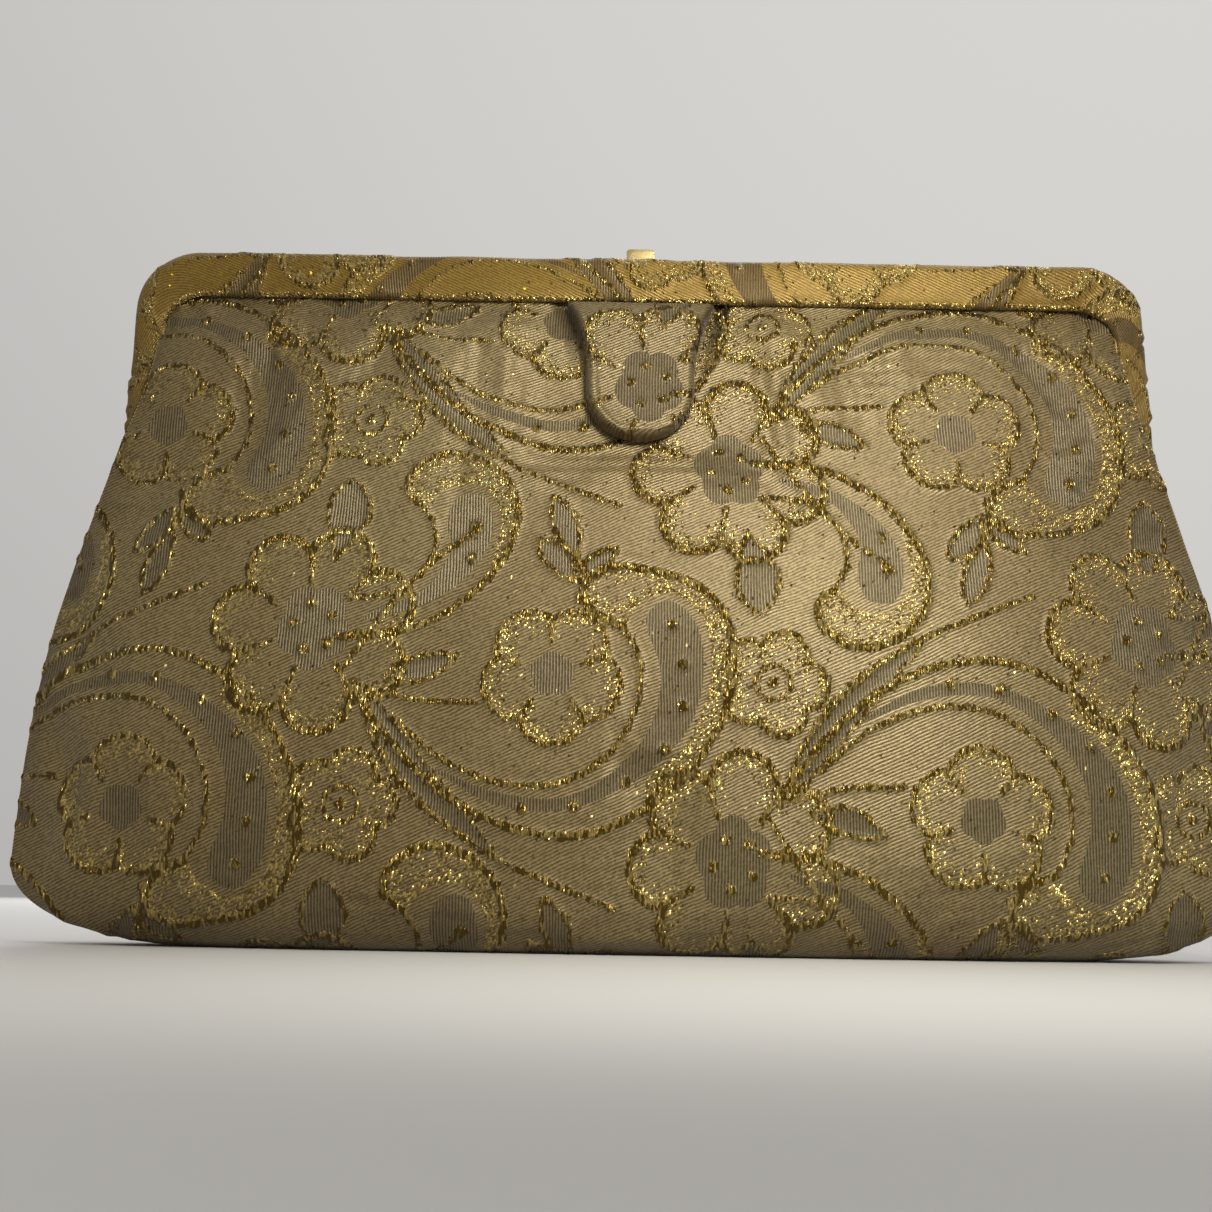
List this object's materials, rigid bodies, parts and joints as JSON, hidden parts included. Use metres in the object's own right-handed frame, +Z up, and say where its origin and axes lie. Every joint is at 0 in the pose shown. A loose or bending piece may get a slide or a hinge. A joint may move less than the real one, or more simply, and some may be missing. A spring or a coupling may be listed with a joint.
{
  "type": "clutch purse",
  "caption": "Brocade evening clutch with a hinged cloth-covered bow frame, a brass catch hook and a cloth-covered lift tab.",
  "frame": {"origin": "centre of the flat base, on the surface the purse stands on", "axes": "+X to the right across the width, +Y towards the back, +Z up towards the frame; the front with the tab faces -Y"},
  "size_m": [0.249, 0.033, 0.1557],
  "materials": {
    "body_brocade": "woven satin with raised metallic thread",
    "rim_brocade": "woven satin with raised metallic thread",
    "lining_satin": "plain satin",
    "frame_brass": "plated sheet",
    "catch_brass": "aged polished brass",
    "latch_steel": "nickel plated",
    "paper_cord": "twisted paper",
    "stiff_board": "matte grey board"
  },
  "bodies": {
    "bag": {"back_frame": "frame_brass", "back_frame_cover": "rim_brocade", "hinge_rivets": "catch_brass", "back_packing_cord": "paper_cord", "catch_hook": "catch_brass", "catch_rivets": "catch_brass", "front_panel_lower": "body_brocade", "back_panel": "body_brocade", "front_stiffener": "stiff_board", "back_stiffener": "stiff_board", "base_board": "stiff_board", "left_gusset": "body_brocade", "right_gusset": "body_brocade", "front_lining_lower": "lining_satin", "back_lining": "lining_satin", "slip_pocket": "lining_satin"},
    "front_half": {"front_frame": "frame_brass", "front_frame_cover": "rim_brocade", "front_packing_cord": "paper_cord", "latch_bracket": "latch_steel", "bracket_rivets": "catch_brass", "latch_pin": "latch_steel", "latch_spring": "latch_steel", "front_panel_upper": "body_brocade", "front_lining_upper": "lining_satin"},
    "tab": {"latch_lever": "frame_brass", "tab_front_cover": "body_brocade", "tab_back_cover": "lining_satin"}
  },
  "joints": [
    {"name": "frame_open", "type": "hinge", "parent": "bag", "child": "front_half", "pos_m": [0, 0, 0.104], "axis": [1, 0, 0], "range_deg": [0, 50]},
    {"name": "tab_lift", "type": "hinge", "parent": "front_half", "child": "tab", "pos_m": [0, -0.0039, 0.143], "axis": [-1, 0, 0], "range_deg": [0, 20], "stiffness_Nm_per_rad": 0.02, "springref_deg": -11.46}
  ]
}
